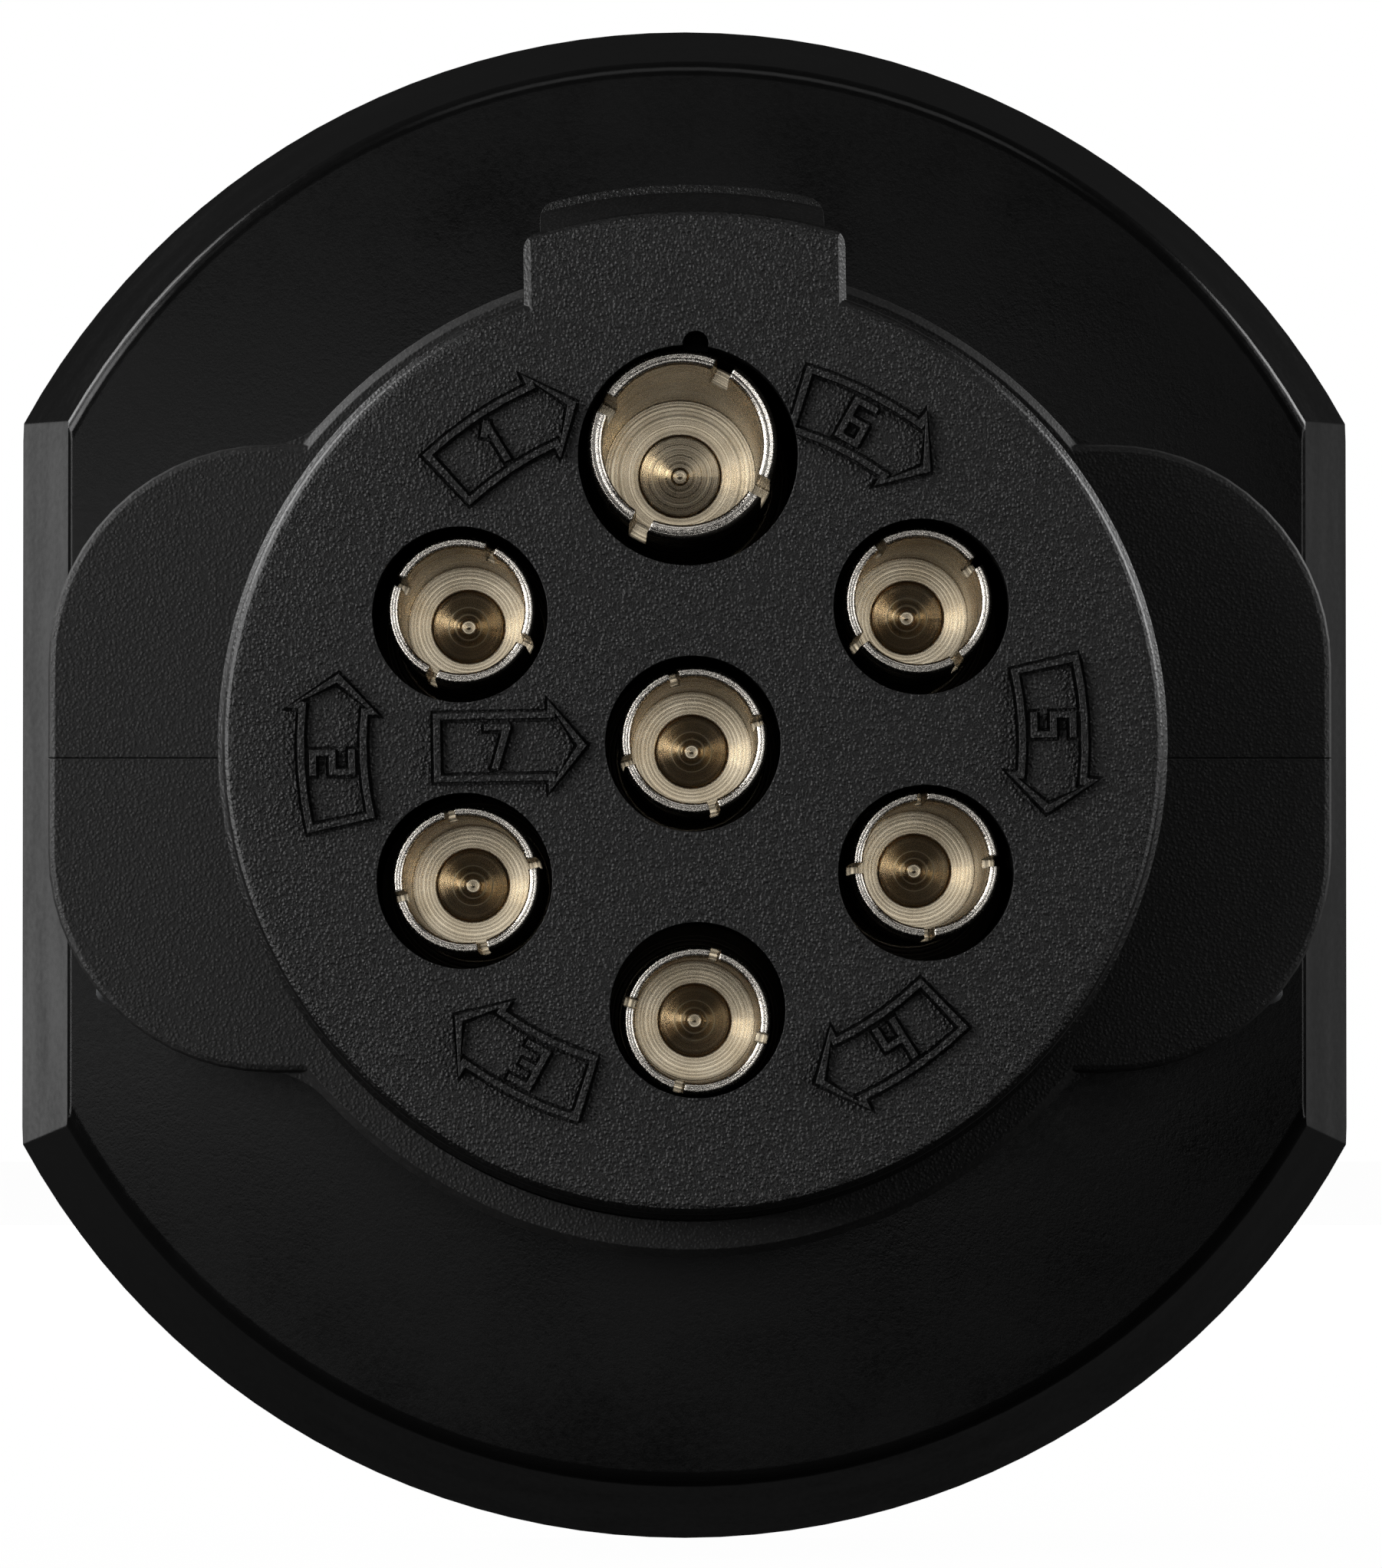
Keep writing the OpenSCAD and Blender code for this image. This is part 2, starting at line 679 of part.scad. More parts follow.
// Disc that carries the blades and rests on the barrel's lip
module blade_carrier() {
    boss_r = 5.2;
    boss_back = floor_back + 2;
    color(housing_black) difference() {
        lathe([
            [0, floor_front], [lip_r - play, floor_front], [lip_r - play, lip_back + eps],
            [barrel_bore_r - play, lip_back + eps], [barrel_bore_r - play, floor_back],
            [boss_r, floor_back], [boss_r, boss_back], [0, boss_back]
        ]);
        for (c = TERMINALS) turned(c[0]) blade_slot(floor_front - 1, floor_back + 1, running);
        rod(centre_pin_r + running, floor_front - 1, boss_back + 1);
        for (p = terminal_spots) at(p) rod(1, floor_front - 1, floor_back - 0.6);
    }
}

module blade(c) {
    color(nickel) turned(c[0]) {
        translate([blade_ring_r - blade_t / 2, 0, 0]) rotate([0, 90, 0])
            linear_extrude(blade_t) blade_profile_flat();
        difference() {
            translate([blade_ring_r, 0, 0]) rod(crimp_tube_r, tail_front, tail_back);
            translate([blade_ring_r, 0, 0]) rod(crimp_bore_r, tail_front - 1, tail_back - 1);
        }
    }
}

// The blade's outline laid in the plane of Y and X before it is stood on edge
module blade_profile_flat() {
    blade_tip = 85;
    shoulder_w = blade_w + 1.6;
    blade_profile(blade_w, floor_front - eps, blade_tip);
    translate([-shoulder_w / 2, terminal_front - 0.9]) square([shoulder_w, 0.8]);
    translate([-1.9, tail_back - 0.8]) square([3.8, terminal_front - tail_back]);
    translate([-blade_w / 2, terminal_front - 0.5]) square([blade_w, floor_front - terminal_front + 1]);
}

module centre_pin() {
    r = centre_pin_r;
    flange_r = 3.4;
    tip = 84.5;
    color(nickel) lathe([
        [crimp_bore_r, tail_front], [crimp_tube_r, tail_front], [crimp_tube_r, terminal_front - 1],
        [flange_r, terminal_front - 1], [flange_r, terminal_front - 0.1],
        [r, terminal_front - 0.1], [r, tip - 1.4], [r - 0.35, tip - 0.5], [r - 1.1, tip],
        [0, tip], [0, tail_back - 1], [crimp_bore_r, tail_back - 1]
    ]);
}

module terminal_plate() {
    color(housing_black) difference() {
        rod(lip_r + 2, terminal_front, terminal_back);
        for (c = TERMINALS)
            turned(c[0]) blade_slot(terminal_front - 1, terminal_back + 1, running);
        rod(centre_pin_r + running, terminal_front - 1, terminal_back + 1);
        for (p = terminal_spots) at(p) rod(1.1, terminal_front - 1, terminal_back + 1);
    }
}

// The terminal screws point backwards, so the pan screw is turned round
module terminal_screws() {
    color(steel) for (p = terminal_spots) at(p) rotate([0, 0, 180])
        pan_screw(eps - terminal_front, 1.9, 1.2, 1 - running, 0.9 - floor_back);
}

module socket_gasket() {
    opening_r = 28.6;
    color(rubber_black) difference() {
        slab(ledge_depth + running, plate_front - running) plate_outline(play);
        rod(opening_r, ledge_depth - 1, plate_front + 1);
        for (sx = [-1, 1], sz = [-1, 1]) at([post_at[0] * sx, post_at[1] * sz])
            rod(1.7, ledge_depth - 1, plate_front + 1);
    }
}

module socket_screws() {
    color(steel) for (sx = [-1, 1], sz = [-1, 1]) at([post_at[0] * sx, post_at[1] * sz])
        pan_screw(plate_front + 2 + eps, 2.7, 1.8, 1.3 - running, ledge_depth - 9);
}

// ---------------------------------------------------------------- lid and hinge

gasket_ring = [23.2, 26.2];

module lid_disc() {
    skirt_front = 90.4;
    skirt_r = 26.9;
    edge = 95.4;
    crown = 96.9;
    dome_r = 300;
    dome_edge = 24.5;
    dome_depth = crown - (dome_r - sqrt(dome_r * dome_r - dome_edge * dome_edge));
    lathe(concat(
        [[0, lid_face], [gasket_ring[0] - play, lid_face], [gasket_ring[0] - play, lid_face + 0.6],
         [gasket_ring[1] + play, lid_face + 0.6], [gasket_ring[1] + play, lid_face],
         [skirt_r, lid_face], [skirt_r, skirt_front], [lid_r - 0.3, skirt_front],
         [lid_r, skirt_front + 0.3], [lid_r, edge]],
        arc([lid_r - 1.2, edge], 1.2, 0, 90, 5),
        [[dome_edge + 1.6, edge + 1.2], [dome_edge + 0.9, dome_depth - 0.4], [dome_edge, dome_depth - 0.4]],
        [for (i = [5:-1:0]) let (r = dome_edge * i / 6)
            [r, crown - (dome_r - sqrt(dome_r * dome_r - r * r))]]));
}

module thumb_tab() {
    half = 7;
    reach = 32.6;
    slab(93, 95.6) intersection() {
        translate([0, -reach / 2]) square([2 * half, reach], center = true);
        circle(r = reach);
    }
    for (i = [0:2]) translate([0, 95.6, -29.6 - i * 1.1])
        rod_x(0.35, -half + 1.2, half - 1.2);
}

module lid_arms() {
    knuckle_r = 2.8;
    arm_root = 26.95;
    for (s = [-1, 1]) {
        left = s > 0 ? knuckle[0] : -knuckle[1];
        right = s > 0 ? knuckle[1] : -knuckle[0];
        translate([0, hinge_y, hinge_z]) rod_x(knuckle_r, left, right);
        translate([left, hinge_y + 0.7, arm_root]) cube([right - left, 3, hinge_z - arm_root]);
    }
}

module lid() {
    color(housing_black) difference() {
        union() {
            lid_disc();
            lid_arms();
            thumb_tab();
        }
        translate([0, hinge_y, hinge_z]) rod_x(pin_r + running, -20, 20);
    }
}

module lid_gasket() {
    color(rubber_black) difference() {
        rod(gasket_ring[1], mouth + running, lid_face + 0.55);
        rod(gasket_ring[0], mouth - 1, lid_face + 1);
    }
}

pin_left = -ear[1] - 0.2;
clip_x = ear[1] + 0.3;
clip_t = 0.45;
clip_groove_r = 1.15;

module hinge_pin() {
    head_r = 2.5;
    right = clip_x + clip_t + 0.9;
    color(steel) translate([0, hinge_y, hinge_z]) lathe_x([
        [0, pin_left - 1.2], [head_r - 0.3, pin_left - 1.2], [head_r, pin_left - 0.9],
        [head_r, pin_left], [pin_r, pin_left], [pin_r, clip_x - running],
        [clip_groove_r, clip_x - running], [clip_groove_r, clip_x + clip_t + running],
        [pin_r, clip_x + clip_t + running], [pin_r, right - 0.3], [pin_r - 0.3, right], [0, right]
    ]);
}

module pin_clip() {
    opening = 1.9;
    color(steel) translate([0, hinge_y, hinge_z]) difference() {
        rod_x(2.6, clip_x, clip_x + clip_t);
        rod_x(clip_groove_r + 0.03, clip_x - 1, clip_x + clip_t + 1);
        translate([clip_x - 1, -opening / 2, 0]) cube([clip_t + 2, opening, 4]);
    }
}

// Torsion spring: a wire swept along a coil around the hinge pin. One leg rests on the barrel's
// side of the hinge, and the other bends over the outside of the lid's right arm.
coil_r = 2.35;
spring_wire_r = 0.38;
coil_turns = 7.36;
coil_half = 4.6;
coil_steps = 116;
leg_reach = 5;
lid_leg = [4.2, -0.42];  // where the lid's leg lies behind and above the hinge axis
function coil_point(i) =
    let (t = i / coil_steps, a = 180 - 360 * coil_turns * t)
    [-coil_half + 2 * coil_half * t, coil_r * cos(a), coil_r * sin(a)];
spring_path = concat(
    [coil_point(0) - [0, 0, leg_reach]],
    [for (i = [0:coil_steps]) coil_point(i)],
    [
        [coil_half + 0.1, lid_leg[0] - 0.2, lid_leg[1] + 0.15],
        [coil_half + 0.5, lid_leg[0], lid_leg[1]],
        [knuckle[1] - 0.5, lid_leg[0], lid_leg[1]]
    ]);
function path_run(i) =
    let (n = len(spring_path), a = spring_path[max(i - 1, 0)], b = spring_path[min(i + 1, n - 1)])
    (b - a) / norm(b - a);
function ring_points(i) =
    let (run = path_run(i), side = cross(run, [1, 1, 1]), u = side / norm(side), v = cross(run, u))
    [for (k = [0:5]) spring_path[i] + spring_wire_r * (cos(60 * k) * u + sin(60 * k) * v)];

module lid_spring() {
    n = len(spring_path);
    rings = [for (i = [0:n - 1]) each ring_points(i)];
    sides = [for (i = [0:n - 2], k = [0:5])
        let (a = 6 * i + k, b = 6 * i + (k + 1) % 6) each [[a, b, b + 6], [a, b + 6, a + 6]]];
    caps = [[for (k = [5:-1:0]) k], [for (k = [0:5]) 6 * (n - 1) + k]];
    color(steel) translate([0, hinge_y, hinge_z]) polyhedron(rings, concat(sides, caps));
}

// ---------------------------------------------------------------- what is drawn

nose_housing();
contact(WHITE);  // contact_white
contact(BROWN);  // contact_brown
contact(GREEN);  // contact_green
contact(RED);  // contact_red
contact(YELLOW);  // contact_yellow
contact(BLACK);  // contact_black
contact(BLUE);  // contact_blue
nose_seal();
contact_retainer();
retainer_screws();
upper_shell();
lower_shell();
shell_screws();
jumper(WHITE, "white");  // jumper_white
jumper(BROWN, "saddlebrown");  // jumper_brown
jumper(GREEN, "green");  // jumper_green
jumper(RED, "red");  // jumper_red
jumper(YELLOW, "gold");  // jumper_yellow
jumper(BLACK, "black");  // jumper_black
jumper(BLUE, "blue");  // jumper_blue
jumper_cores();
rear_hood();
hood_seal();
blade_socket();
blade(WHITE);  // blade_white
blade(BROWN);  // blade_brown
blade(GREEN);  // blade_green
blade(RED);  // blade_red
blade(YELLOW);  // blade_yellow
blade(BLACK);  // blade_black
centre_pin();
blade_carrier();
terminal_plate();
terminal_screws();
socket_gasket();
socket_screws();
lid();
lid_gasket();
hinge_pin();
pin_clip();
lid_spring();
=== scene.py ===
"""Looks for the seven-way trailer wiring adapter: moulded plastics, turned nickel contacts, rubber,
zinc-plated screws and the lid spring, in soft studio light, seen straight on at the plug's nose."""
import json
import math

import bmesh
import bpy
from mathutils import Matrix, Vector


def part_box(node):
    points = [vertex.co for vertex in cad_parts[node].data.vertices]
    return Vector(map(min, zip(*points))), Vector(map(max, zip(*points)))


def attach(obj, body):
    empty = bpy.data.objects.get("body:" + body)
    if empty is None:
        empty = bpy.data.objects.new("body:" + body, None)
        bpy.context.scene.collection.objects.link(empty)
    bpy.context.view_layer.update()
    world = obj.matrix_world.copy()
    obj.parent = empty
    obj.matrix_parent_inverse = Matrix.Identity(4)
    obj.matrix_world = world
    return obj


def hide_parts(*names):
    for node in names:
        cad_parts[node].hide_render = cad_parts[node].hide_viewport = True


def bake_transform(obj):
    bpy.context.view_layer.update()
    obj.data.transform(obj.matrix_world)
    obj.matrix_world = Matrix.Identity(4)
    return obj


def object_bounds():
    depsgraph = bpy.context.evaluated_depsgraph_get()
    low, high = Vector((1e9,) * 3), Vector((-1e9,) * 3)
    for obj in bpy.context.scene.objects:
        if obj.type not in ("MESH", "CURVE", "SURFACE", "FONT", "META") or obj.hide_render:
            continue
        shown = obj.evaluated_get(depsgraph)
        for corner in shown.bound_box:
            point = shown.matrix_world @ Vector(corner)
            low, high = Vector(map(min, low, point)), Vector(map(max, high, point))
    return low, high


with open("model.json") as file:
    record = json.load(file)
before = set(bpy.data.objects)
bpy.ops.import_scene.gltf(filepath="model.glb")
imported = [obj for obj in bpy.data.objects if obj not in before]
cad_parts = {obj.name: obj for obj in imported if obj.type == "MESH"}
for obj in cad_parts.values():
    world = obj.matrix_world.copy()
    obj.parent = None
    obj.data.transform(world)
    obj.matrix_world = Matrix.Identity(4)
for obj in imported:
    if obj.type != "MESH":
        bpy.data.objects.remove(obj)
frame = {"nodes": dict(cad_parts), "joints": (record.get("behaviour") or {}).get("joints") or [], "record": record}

MM = 0.001
cad_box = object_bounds()
nodes = frame["nodes"]
hinge = next(j for j in frame["joints"] if j["name"] == "lid_hinge")
hinge_at = Vector(hinge["pos_m"])
CIRCUITS = ("white", "brown", "green", "red", "yellow", "black", "blue")
BLADES = CIRCUITS[:-1]


# ------------------------------------------------------------------ node helpers

class Shader:
    """A material under construction: each call adds one node, with its inputs set or linked."""

    def __init__(self, name):
        self.material = bpy.data.materials.new(name)
        self.material.use_nodes = True
        self.tree = self.material.node_tree
        self.tree.nodes.clear()
        self.place = self.add("TexCoord").outputs["Object"]

    def add(self, kind, inputs=None, **settings):
        made = self.tree.nodes.new("ShaderNode" + kind)
        for key, value in settings.items():
            setattr(made, key, value)
        for key, value in (inputs or {}).items():
            if isinstance(value, bpy.types.NodeSocket):
                self.tree.links.new(value, made.inputs[key])
            else:
                made.inputs[key].default_value = value
        return made

    def math(self, operation, *values):
        return self.add("Math", dict(enumerate(values)), operation=operation).outputs[0]

    def noise(self, size, detail=2.0, rough=0.5, place=None):
        """Cloudy values from 0 to 1 whose patches are about size across."""
        return self.add("TexNoise", {
            "Vector": place or self.place, "Scale": 1 / size, "Detail": detail, "Roughness": rough,
        }).outputs["Fac"]

    def cells(self, size):
        """Distance from the middle of the nearest of many small cells, 0 to about 1."""
        return self.add("TexVoronoi", {"Vector": self.place, "Scale": 1 / size}).outputs["Distance"]

    def ramp(self, value, low, high, start=0.0, end=1.0):
        """Maps value from start..end to low..high, which are numbers."""
        return self.add("MapRange", {
            "Value": value, "From Min": start, "From Max": end, "To Min": low, "To Max": high,
        }).outputs["Result"]

    def mix(self, share, first, second):
        # a colour Mix node keeps its factor at socket 0 and its two colours at 6 and 7
        return self.add("Mix", {0: share, 6: first, 7: second}, data_type="RGBA").outputs[2]

    def bump(self, height, depth, normal=None):
        inputs = {"Height": height, "Distance": depth}
        if normal is not None:
            inputs["Normal"] = normal
        return self.add("Bump", inputs).outputs["Normal"]

    def soft_edges(self, radius):
        return self.add("Bevel", {"Radius": radius}, samples=6).outputs["Normal"]

    def stretched(self, share):
        """The place, squeezed along Y so that patterns draw out lengthwise."""
        return self.add("Mapping", {"Vector": self.place, "Scale": (1.0, share, 1.0)}).outputs["Vector"]

    def apart(self, vector=None):
        """The three parts of a vector, or of the place, as a node's outputs X, Y and Z."""
        return self.add("SeparateXYZ", {"Vector": vector or self.place}).outputs

    def distance(self, x, z):
        """How far the point x, z lies from the origin."""
        return self.math("SQRT", self.math("MULTIPLY_ADD", x, x, self.math("MULTIPLY", z, z)))

    def finish(self, **inputs):
        surface = self.add("BsdfPrincipled", {k.replace("_", " "): v for k, v in inputs.items()})
        output = self.add("OutputMaterial")
        self.tree.links.new(surface.outputs["BSDF"], output.inputs["Surface"])
        return self.material


def grey(value, warm=0.0):
    """A grey whose red is raised and blue lowered by a share."""
    return (value * (1 + warm), value, value * (1 - warm), 1.0)


# ------------------------------------------------------------------ materials

NICKEL = (0.82, 0.71, 0.53, 1.0)
NICKEL_DEEP = (0.46, 0.36, 0.22, 1.0)
# painted highlight: the lighter colour painted on each contact's tip ring, which also has a real rougher finish
NICKEL_TIP_PAINTED_HIGHLIGHT = (1.0, 0.94, 0.85, 1.0)
# painted shade: the near-black colour painted on each contact's flange behind the fingers
NICKEL_FLANGE_PAINTED_SHADE = (0.03, 0.025, 0.02, 1.0)
HOLES_REACH = 19 * MM    # all the contact holes lie nearer the axis than this


def moulded(name, shade, grain, depth, gloss, edge):
    """Moulded black plastic with a spark-eroded grain: rounded grains about one grain size across,
    with finer pits between them. Edges and steep faces are worn smooth, and hole walls are dull."""
    m = Shader(name)
    fine = m.noise(grain * 0.8, detail=3.0, rough=0.65)
    grains = m.ramp(m.cells(grain * 1.6), 1.0, 0.0, 0.1, 0.6)
    height = m.math("MULTIPLY_ADD", fine, 0.8, m.math("MULTIPLY", grains, 0.6))
    soft = m.soft_edges(edge)
    facing = m.math("ABSOLUTE", m.apart(soft)["Y"])
    worn = m.ramp(facing, 0.25, 1.0, 0.8, 0.99)
    cloud = m.noise(6 * MM, detail=4.0)
    patch = m.noise(0.5 * MM, detail=4.0, rough=0.7)
    shades = m.math("MULTIPLY_ADD", patch, 0.5, m.math("MULTIPLY", height, 0.6))
    tone = m.mix(m.ramp(shades, 0.0, 1.0, 0.3, 0.95), grey(shade * 0.45), grey(shade * 1.7, 0.02))
    rough = m.math("ADD", m.ramp(cloud, gloss - 0.05, gloss + 0.05, 0.3, 0.7),
                   m.ramp(fine, 0.08, -0.08, 0.3, 0.7))
    rough = m.math("ADD", rough, m.ramp(facing, 0.25, 0.0, 0.05, 0.5))
    place = m.apart()
    off_axis = m.distance(place["X"], place["Z"])
    near_axis = m.ramp(off_axis, 1.0, 0.0, HOLES_REACH, HOLES_REACH + 2 * MM)
    in_hole = m.math("MULTIPLY", near_axis, m.ramp(facing, 1.0, 0.0, 0.1, 0.6))
    normal = m.bump(m.math("MULTIPLY", height, worn), depth, soft)
    return m.finish(Base_Color=tone, Roughness=rough, Normal=normal, IOR=1.45,
                    Specular_IOR_Level=m.ramp(in_hole, 0.5, 0.0))


def satin(name, shade, gloss):
    """Smooth satin plastic: faint flow clouds, fine handling scratches and soft edges."""
    m = Shader(name)
    cloud = m.noise(9 * MM, detail=5.0)
    streaks = m.noise(0.35 * MM, detail=3.0, place=m.stretched(0.12))
    fine = m.noise(0.12 * MM, detail=2.0)
    height = m.math("MULTIPLY_ADD", streaks, 0.5, m.math("MULTIPLY", fine, 0.5))
    tone = m.mix(m.ramp(cloud, 0.0, 1.0, 0.35, 0.7), grey(shade * 0.85), grey(shade * 1.15))
    rough = m.math("ADD", m.ramp(cloud, gloss - 0.05, gloss + 0.06, 0.3, 0.7),
                   m.ramp(streaks, -0.03, 0.03, 0.3, 0.7))
    normal = m.bump(height, 0.004 * MM, m.soft_edges(0.15 * MM))
    return m.finish(Base_Color=tone, Roughness=rough, Normal=normal, IOR=1.33)


def turned_metal(name, centre, tip, bore_r):
    """Nickel-plated brass turned around an axis along Y through centre: fine tool rings that drift
    in height, and a deeper tone in cloudy patches inside. The ring in front of the tip depth, round the bore,
    is rougher, carries two rough ridges and is painted a lighter colour as a painted highlight. The flange
    behind the fingers is painted near black as painted shade."""
    gloss, tip_w = 0.19, 0.17 * bore_r
    m = Shader(name)
    place = m.apart()
    x, y, z = place["X"], place["Y"], place["Z"]
    radius = m.distance(m.math("SUBTRACT", x, centre.x), m.math("SUBTRACT", z, centre.z))
    ring_pitch = 0.16 * MM
    along = m.math("DIVIDE", m.math("ADD", radius, y), ring_pitch)
    rings = m.add("TexNoise", {"W": along, "Scale": 1.0, "Detail": 1.5, "Roughness": 0.6},
                  noise_dimensions="1D").outputs["Fac"]
    grain = m.noise(0.11 * MM, detail=3.0, rough=0.7)
    at_tip = m.ramp(y, 1.0, 0.0, tip, tip + 0.35 * MM)
    stain = m.noise(1.6 * MM, detail=4.0)
    bright = m.mix(m.ramp(stain, 0.0, 0.55, 0.35, 0.75), NICKEL, NICKEL_DEEP)
    finger_r = 1.215 * bore_r
    # painted shade: the flange outside the fingers is painted near black
    outside = m.ramp(radius, 0.0, 1.0, finger_r, finger_r + 0.1 * MM)
    # the tip ring gets a lighter colour, a painted highlight, over its real rougher finish
    tone = m.mix(at_tip, m.mix(outside, bright, NICKEL_FLANGE_PAINTED_SHADE), NICKEL_TIP_PAINTED_HIGHLIGHT)
    turned = m.ramp(rings, gloss - 0.07, gloss + 0.09, 0.3, 0.7)
    etched = m.ramp(grain, 0.06, 0.3, 0.35, 0.65)
    rough = m.ramp(at_tip, turned, etched)
    ring_bump = m.bump(rings, 0.006 * MM, m.soft_edges(0.12 * MM))
    ridge = m.math("PINGPONG", m.math("SUBTRACT", radius, bore_r), tip_w / 4)
    worked = m.math("MULTIPLY_ADD", ridge, 1.2 / tip_w, m.math("MULTIPLY", grain, 0.22))
    normal = m.bump(m.math("MULTIPLY", worked, at_tip), 0.06 * MM, ring_bump)
    tangent = m.add("Tangent", direction_type="RADIAL", axis="Y").outputs["Tangent"]
    return m.finish(Base_Color=tone, Metallic=1.0, Roughness=rough, Normal=normal,
                    Anisotropic=m.ramp(at_tip, 0.8, 0.0), Anisotropic_Rotation=0.25, Tangent=tangent)


def plated(name, colour, gloss):
    """Sheet or wire metal with a thin plating: cloudy gloss and faint rolling marks."""
    m = Shader(name)
    cloud = m.noise(2.5 * MM, detail=4.0)
    fine = m.noise(0.3 * MM, detail=3.0, rough=0.65)
    dull = tuple(c * 0.72 for c in colour[:3]) + (1.0,)
    tone = m.mix(m.ramp(cloud, 0.0, 0.7, 0.35, 0.75), colour, dull)
    rough = m.math("ADD", m.ramp(cloud, gloss - 0.06, gloss + 0.12, 0.3, 0.7),
                   m.ramp(fine, -0.04, 0.04, 0.3, 0.7))
    normal = m.bump(fine, 0.006 * MM, m.soft_edges(0.07 * MM))
    return m.finish(Base_Color=tone, Metallic=1.0, Roughness=rough, Normal=normal)


def rubber(name):
    """Matt black rubber with a fine, even grain."""
    m = Shader(name)
    fine = m.noise(0.09 * MM, detail=3.0, rough=0.7)
    cloud = m.noise(4 * MM, detail=3.0)
    tone = m.mix(m.ramp(cloud, 0.0, 1.0, 0.3, 0.7), grey(0.009), grey(0.02))
    rough = m.ramp(cloud, 0.62, 0.82, 0.3, 0.7)
    return m.finish(Base_Color=tone, Roughness=rough, IOR=1.45,
                    Normal=m.bump(fine, 0.01 * MM, m.soft_edges(0.1 * MM)))


def insulation(name, colour):
    """Extruded soft wire insulation: long faint draw lines and slight sheen."""
    m = Shader(name)
    lines = m.noise(0.2 * MM, detail=2.0, place=m.stretched(0.08))
    cloud = m.noise(3 * MM, detail=3.0)
    dark = tuple(c * 0.8 for c in colour[:3]) + (1.0,)
    return m.finish(Base_Color=m.mix(cloud, colour, dark), Roughness=m.ramp(lines, 0.32, 0.46, 0.3, 0.7),
                    Normal=m.bump(lines, 0.012 * MM), IOR=1.5)


nose_plastic = moulded(
    "nose_plastic", shade=0.006, grain=0.12 * MM, depth=0.075 * MM, gloss=0.33, edge=0.05 * MM)
shell_plastic = moulded(
    "shell_plastic", shade=0.016, grain=0.12 * MM, depth=0.035 * MM, gloss=0.5, edge=0.1 * MM)
socket_plastic = moulded(
    "socket_plastic", shade=0.014, grain=0.14 * MM, depth=0.018 * MM, gloss=0.46, edge=0.1 * MM)
hood_plastic = satin("hood_plastic", shade=0.004, gloss=0.18)
seal_rubber = rubber("seal_rubber")
zinc = plated("zinc", (0.72, 0.74, 0.76, 1.0), gloss=0.28)
spring_steel = plated("spring_steel", (0.62, 0.62, 0.6, 1.0), gloss=0.22)
blade_metal = plated("blade_metal", (0.83, 0.76, 0.6, 1.0), gloss=0.24)
copper = plated("copper", (0.85, 0.42, 0.24, 1.0), gloss=0.3)
WIRE_COLOURS = {
    "white": (0.8, 0.79, 0.75, 1.0), "brown": (0.16, 0.06, 0.025, 1.0),
    "green": (0.02, 0.22, 0.05, 1.0), "red": (0.5, 0.015, 0.012, 1.0),
    "yellow": (0.78, 0.5, 0.03, 1.0), "black": (0.014, 0.014, 0.014, 1.0),
    "blue": (0.015, 0.06, 0.42, 1.0),
}


def paint(material, *names):
    """Gives CAD nodes a material, in every slot they have."""
    for name in names:
        slots = nodes[name].data.materials
        slots.clear()
        slots.append(material)


def middle(name):
    """The centre of a CAD node's box."""
    low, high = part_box(name)
    return (low + high) / 2


paint(nose_plastic, "nose_housing")
paint(shell_plastic, "upper_shell", "lower_shell")
paint(hood_plastic, "rear_hood")
paint(socket_plastic, "blade_socket", "blade_carrier", "lid", "contact_retainer", "terminal_plate")
paint(seal_rubber, "nose_seal", "hood_seal", "socket_gasket", "lid_gasket")
paint(zinc, "retainer_screws", "shell_screws", "terminal_screws", "socket_screws", "hinge_pin", "pin_clip")
paint(blade_metal, "centre_pin", *["blade_" + c for c in BLADES])
paint(copper, "jumper_cores")
paint(spring_steel, "lid_spring")
bores = {m["name"]: m["dims"]["r_mm"] for m in frame["record"]["mounts"] if m["kind"] == "bore"}
wire_material = {}
for circuit in CIRCUITS:
    node = "contact_" + circuit
    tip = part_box(node)[0].y
    bore_r = bores[circuit + "_contact"] * MM
    paint(turned_metal(node + "_metal", middle(node), tip, bore_r), node)
    wire_material[circuit] = insulation("wire_" + circuit, WIRE_COLOURS[circuit])
    paint(wire_material[circuit], "jumper_" + circuit)


# ------------------------------------------------------------------ pieces built in mesh code

def new_piece(name, verts, faces, material, body, *replaced):
    """Makes a smooth-shaded mesh piece that rides on a body and stands for the CAD nodes it replaces."""
    mesh = bpy.data.meshes.new(name)
    mesh.from_pydata([tuple(v) for v in verts], [], faces)
    mesh.validate()
    mesh.shade_smooth()
    mesh.set_sharp_from_angle(angle=math.radians(35))
    mesh.materials.append(material)
    made = bpy.data.objects.new(name, mesh)
    bpy.context.scene.collection.objects.link(made)
    if body:
        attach(made, body)
    if replaced:
        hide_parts(*replaced)
    return made


def rounded(points, radius, steps=6):
    """The path through points with each inner corner rounded off over radius."""
    path = [points[0]]
    for before, corner, after in zip(points, points[1:], points[2:]):
        into = (before - corner).normalized() * min(radius, (before - corner).length / 2)
        out = (after - corner).normalized() * min(radius, (after - corner).length / 2)
        for i in range(steps + 1):
            t = i / steps
            path.append(corner + into * (1 - t) ** 2 + out * t ** 2)
    return path + [points[-1]]


